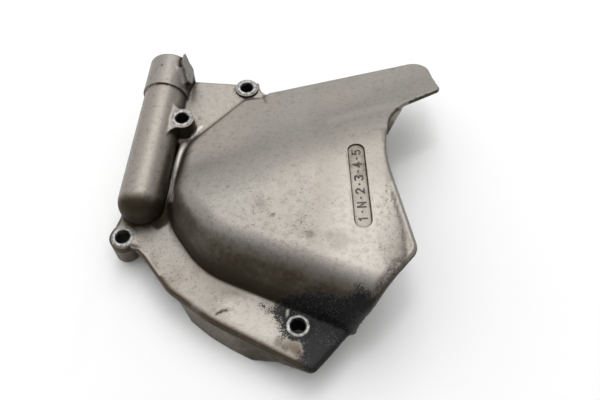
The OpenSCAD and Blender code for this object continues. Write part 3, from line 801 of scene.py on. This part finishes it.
def cast_paint():
    """Worn silver-grey lacquer on an aluminium casting, with road dirt, chain grease, painted shade, painted
    shadows and painted highlights.
    """
    n = Nodes("cast_paint")
    cloud, blotch, cluster = n.noise(22, 3.0), n.noise(75, 4.0, 0.6), n.noise(48, 3.0, 0.6)
    fine, grain, speck = n.noise(380, 4.0, 0.65), n.noise(1500, 2.0), n.noise(900, 3.0, 0.6)
    streak = n.noise(34, 3.0, 0.55, stretch=(1.0, 0.22, 1.0))
    # Lacquer
    paint = n.mix(n.step(cloud, 0.38, 0.64), SILVER_COOL, SILVER_WARM)
    paint = n.mix(n.step(blotch, 0.45, 0.72, 0.35), paint, SILVER_PALE)
    paint = n.mix(n.step(fine, 0.48, 0.72, 0.5), paint, PORE)
    paint = n.mix(n.step(grain, 0.45, 0.7, 0.6), paint, GRAIN)
    # Stains, pits, rubbed places with painted highlights, and streaks
    paint = n.mix(n.times(n.step(cluster, 0.5, 0.68, 1.2), n.attr("pitted")), paint, STAIN)
    density = n.add(n.times(n.attr("pitted"), 0.17), n.times(cluster, 0.3))
    paint = n.mix(n.step(n.add(speck, density), 0.80, 0.90, 0.7), paint, PIT)
    paint = n.mix(n.times(n.attr("wear_and_highlight"), n.step(fine, 0.3, 0.62)), paint, WORN_PAINT_AND_HIGHLIGHT)
    paint = n.mix(n.step(streak, 0.42, 0.66, 0.22), paint, STREAK)
    # Brown dirt and painted shade along the rim, painted shade with road dirt on the walls, in corners and in
    # holes, and dark spots with painted shadow lines
    paint = n.mix(n.times(n.attr("rim"), n.step(blotch, 0.2, 0.45, 0.93)), paint, RIM_DIRT_AND_SHADE)
    ragged = n.about_zero(fine, 1.1)
    shade_and_grime = n.add(n.attr("shade_and_grime"), n.add(n.times(ragged, 0.35), n.about_zero(blotch, 0.5)))
    shade_and_grime = n.step(shade_and_grime, 0.06, 0.95, 0.96)
    paint = n.mix(n.step(shade_and_grime, 0.02, 0.45, 0.42), paint, THIN_SHADE_AND_GRIME)
    paint = n.mix(shade_and_grime, paint, DEEP_SHADE_AND_GRIME)
    marks_and_shadows = n.times(n.add(ragged, n.about_zero(grain, 1.2)), n.times(n.attr("marks_and_shadows"), 1.6))
    marks_and_shadows = n.add(n.attr("marks_and_shadows"), marks_and_shadows, clamp=True)
    paint = n.mix(marks_and_shadows, paint, MARK_AND_SHADOW)
    # Grease, with a brown patch at its edge, and bare metal on rubbed edges with painted highlights
    grease = n.less(n.add(n.attr("grease"), ragged), n.times(n.attr("tan"), n.step(grain, 0.35, 0.6, 0.9)))
    grease = n.step(n.add(grease, n.about_zero(grain, 2.2)), -0.22, 0.2, 0.98)
    glint = n.times(n.step(grain, 0.52, 0.72, 0.9), n.step(blotch, 0.35, 0.6))
    paint = n.mix(n.times(n.attr("tan"), 0.85), paint, TAN_DIRT)
    paint = n.mix(grease, paint, n.mix(glint, GREASE_BLACK, GREASE_GLINT))
    paint = n.mix(n.attr("bright"), paint, RUBBED_METAL_AND_HIGHLIGHT)
    dirt_grease_and_shade = n.most(n.most(n.times(shade_and_grime, 0.6), n.times(grease, 0.8)), n.times(marks_and_shadows, 0.6))
    relief = n.add(n.times(grain, 0.5), fine)
    return n.finish(Base_Color=paint, Metallic=n.between(dirt_grease_and_shade, 0.92, 0.25),
                    Specular_IOR_Level=n.between(shade_and_grime, 0.5, 0.12),
                    Roughness=n.between(dirt_grease_and_shade, n.add(n.times(fine, 0.12), 0.38), 0.58),
                    Normal=n.bump(relief, 0.35, 0.00012, n.bump(blotch, 0.25, 0.0006)))


def bare_metal():
    """Machined aluminium, scuffed by the bolt heads."""
    n = Nodes("bare_seat")
    scuff, grain = n.noise(420, 4.0, 0.7), n.noise(1700, 2.0)
    colour = n.mix(n.step(scuff, 0.42, 0.62), SEAT_DARK, SEAT_GREY)
    colour = n.mix(n.step(grain, 0.55, 0.72, 0.6), colour, SEAT_BRIGHT)
    return n.finish(Base_Color=colour, Metallic=1.0, Roughness=n.between(scuff, 0.32, 0.52),
                    Normal=n.bump(scuff, 0.5, 0.0002))


def numeral_paint():
    """Dirty strokes of the panel's numerals."""
    n = Nodes("numeral_paint")
    colour = n.mix(n.step(n.noise(900), 0.3, 0.7), NUMERAL_DARK, NUMERAL_LIGHT)
    return n.finish(Base_Color=colour, Roughness=0.6)


paint, seat_metal = cast_paint(), bare_metal()
cover.data.materials.append(paint)
panel.data.materials.append(paint)
numeral_row.data.materials.append(numeral_paint())
for s in seats:
    s.data.materials.append(seat_metal)

# The frame takes the pieces
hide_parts("sprocket_cover")
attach(cover, "root")
for s in seats + [panel, numeral_row]:
    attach(s, "root")

# Floor, light and camera
FLOOR_GAP, FLOOR_FLAT, FLOOR_END, FLOOR_CLIMB = 0.1, 2600, 3400, 0.8


def floor():
    """A pale floor that rises far away, with fine squares where the cover lies. It shines a little to the
    camera where it is open but not near or under the cover, which leaves painted shade around the cover, and
    it is painted dark under the cover, where the bolt holes look down on it."""
    line = np.concatenate([[-FLOOR_END, -3000, -FLOOR_FLAT, -800], np.arange(-100, 260, 5.0),
                           [900, FLOOR_FLAT, 3000, FLOOR_END]])
    n = len(line)
    pts = np.stack([np.repeat(line, n), np.tile(line, n), np.full(n * n, -SKIRT_DROP - FLOOR_GAP)], 1)
    pts[:, 2] += FLOOR_CLIMB * np.maximum(np.abs(pts[:, :2]).max(1) - FLOOR_FLAT, 0)
    i = (np.arange(n - 1)[:, None] * n + np.arange(n - 1)).ravel()
    obj = mesh_object("floor", pts, np.stack([i, i + n, i + n + 1, i + 1], 1))
    q = plan(pts[:, 0], pts[:, 1])
    gap = np.minimum(np.minimum(np.maximum(-q["wall"], q["edge"]), q["flange"]), q["web"])
    # Painted shade: the floor does not shine near and under the cover
    store(obj, "open", fade(gap, 1, 11))
    # Painted shade on the floor under the cover, left out under the wing
    store(obj, "under", fade(gap, -3, -12) * fade(pts[:, 0], 108, 98))
    n = Nodes("pale_floor")
    path = n.new("LightPath").outputs
    shown = n.most(n.most(path["Is Camera Ray"], path["Is Glossy Ray"]), path["Is Transmission Ray"])
    n.finish(Base_Color=n.mix(n.attr("under"), FLOOR_PALE, FLOOR_PAINTED_SHADE), Roughness=0.9,
             Emission_Color=(1, 1, 1), Emission_Strength=n.times(n.times(shown, n.attr("open")), 0.12))
    obj.data.materials.append(n.material)


def lamp(name, at, aim, size, size_y, power):
    light = bpy.data.lights.new(name, "AREA")
    light.energy, light.shape, light.size, light.size_y = power, "RECTANGLE", size, size_y
    obj = bpy.data.objects.new(name, light)
    obj.location = Vector(at)
    obj.rotation_mode = "QUATERNION"
    obj.rotation_quaternion = (Vector(aim) - Vector(at)).to_track_quat("-Z", "Y")
    bpy.context.scene.collection.objects.link(obj)


# Brightness of the world: from the far horizon over the top to the near one, and from left to right
SKY = [(0.0, 0.75), (0.12, 0.98), (0.28, 1.0), (0.5, 1.0), (0.6, 0.97), (0.68, 0.62), (0.77, 0.13),
       (1.0, 0.04)]
SIDES = [(0.0, 0.72), (0.4, 1.0), (0.57, 1.0), (0.75, 0.5), (1.0, 0.4)]


def studio():
    """A bright ceiling and far side, and a dark side behind the camera."""
    world = bpy.data.worlds.new("studio")
    bpy.context.scene.world = world
    world.use_nodes = True
    tree = world.node_tree
    new, link = tree.nodes.new, tree.links.new
    axes = new("ShaderNodeSeparateXYZ")
    link(new("ShaderNodeTexCoord").outputs["Generated"], axes.inputs[0])

    def math_node(op, *values):
        m = new("ShaderNodeMath")
        m.operation = op
        for k, v in enumerate(values):
            if isinstance(v, float):
                m.inputs[k].default_value = v
            else:
                link(v, m.inputs[k])
        return m.outputs[0]

    def ramp(value, stops):
        r = new("ShaderNodeValToRGB")
        r.color_ramp.interpolation = "EASE"
        e = r.color_ramp.elements
        while len(e) < len(stops):
            e.new(0.5)
        for k, (at, level) in enumerate(stops):
            e[k].position = at
            e[k].color = (level, level, level, 1)
        link(value, r.inputs[0])
        return r.outputs[0]

    turn = math_node("DIVIDE", math_node("ARCTAN2", axes.outputs["Z"], axes.outputs["Y"]), math.pi)
    level = new("ShaderNodeMix")
    level.data_type, level.blend_type = "RGBA", "MULTIPLY"
    level.inputs[0].default_value = 1.0
    link(ramp(turn, SKY), level.inputs[6])
    link(ramp(math_node("MULTIPLY_ADD", axes.outputs["X"], 0.5, 0.5), SIDES), level.inputs[7])
    link(level.outputs[2], tree.nodes["Background"].inputs["Color"])
    tree.nodes["Background"].inputs["Strength"].default_value = 1.3


floor()
lamp("softbox", (0.08, 0.52, 1.02), (0.07, 0.02, 0), 0.65, 0.9, 3.0)
studio()

# The camera looks down at the cover as the photograph does
cam_data = bpy.data.cameras.new("camera")
cam_data.lens, cam_data.sensor_width = LENS, SENSOR
cam_data.clip_start, cam_data.clip_end = 0.01, 20
camera = bpy.data.objects.new("camera", cam_data)
camera.location = Vector(EYE * 0.001)
camera.rotation_mode = "QUATERNION"
camera.rotation_quaternion = Vector(AHEAD).to_track_quat("-Z", "Y")
bpy.context.scene.collection.objects.link(camera)
bpy.context.scene.camera = camera

bpy.context.scene.view_settings.view_transform = "Standard"
